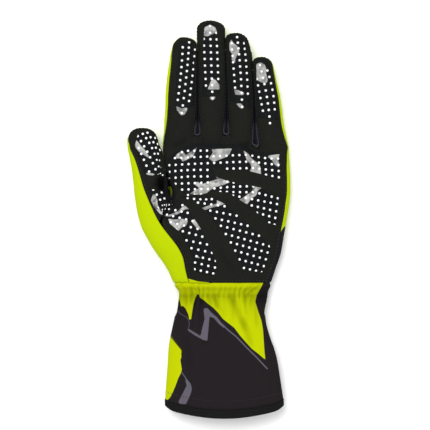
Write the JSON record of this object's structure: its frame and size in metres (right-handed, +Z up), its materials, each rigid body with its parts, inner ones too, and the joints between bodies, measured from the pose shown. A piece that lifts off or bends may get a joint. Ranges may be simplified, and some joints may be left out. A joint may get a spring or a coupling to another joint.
{
  "type": "karting glove",
  "caption": "Left-hand karting glove lying palm up: hollow hand with black grip palm, yellow back, side strips between the fingers and a long printed stretch cuff.",
  "frame": {"origin": "on the floor under the middle of the palm, on the flattened underside of the back panel", "axes": "+Z up, out of the palm; +Y along the hand to the fingertips; +X to the little finger side, so the thumb is at -X"},
  "size_m": [0.1309, 0.3193, 0.0307],
  "materials": {
    "suede": "matt synthetic suede, short nap",
    "back_knit": "matt stretch knit, fluorescent yellow",
    "printed_knit": "stretch knit printed in black, grey and yellow",
    "side_knit": "matt dark stretch knit",
    "hem_tape": "ribbed elastic binding tape",
    "silicone": "satin silicone print with small raised dots"
  },
  "bodies": {
    "root": {"palm_panel": "suede", "back_panel": "back_knit", "thumb_front_panel": "suede", "thumb_back_panel": "back_knit", "cuff": "printed_knit", "hem_binding": "hem_tape", "fourchette_index_middle": "side_knit", "fourchette_middle_ring": "side_knit", "fourchette_ring_little": "side_knit", "grip_index": "silicone", "grip_middle": "silicone", "grip_ring": "silicone", "grip_little": "silicone", "grip_thumb": "silicone", "grip_thumb_base": "silicone", "grip_palm_upper": "silicone", "grip_palm_third": "silicone", "grip_heel": "silicone"}
  },
  "joints": []
}
